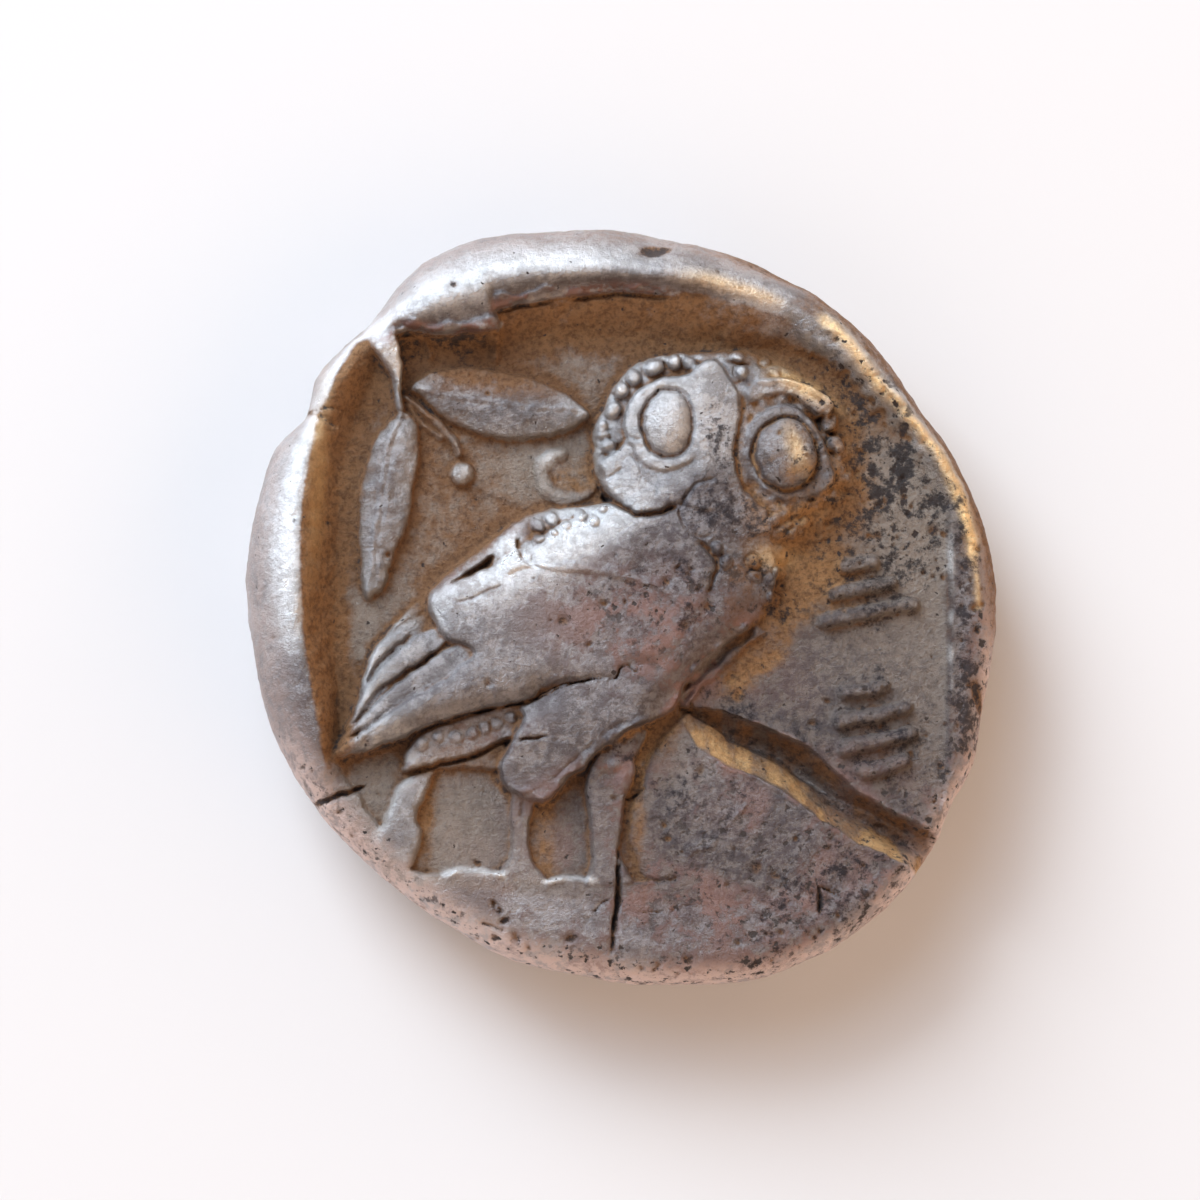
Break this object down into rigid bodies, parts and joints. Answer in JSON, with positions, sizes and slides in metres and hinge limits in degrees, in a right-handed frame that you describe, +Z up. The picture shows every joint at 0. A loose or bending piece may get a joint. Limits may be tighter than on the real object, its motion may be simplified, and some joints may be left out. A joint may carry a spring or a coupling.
{
  "type": "ancient silver tetradrachm coin",
  "caption": "Thick hand-struck silver coin: an owl with an olive sprig in a sunk square, a chisel cut across it and a worn helmeted head beneath.",
  "frame": {"origin": "centre of the coin's bounding box in plan, on the surface that it lies on", "axes": "+Z up through the coin's thickness, out of the owl side; +Y towards the owl's head; the owl's breast is at +X"},
  "size_m": [0.0246, 0.0248, 0.0055],
  "materials": {
    "silver": "worn, toned hand-struck silver with brown patina in the hollows"
  },
  "bodies": {
    "root": {"coin": "silver"}
  },
  "joints": []
}
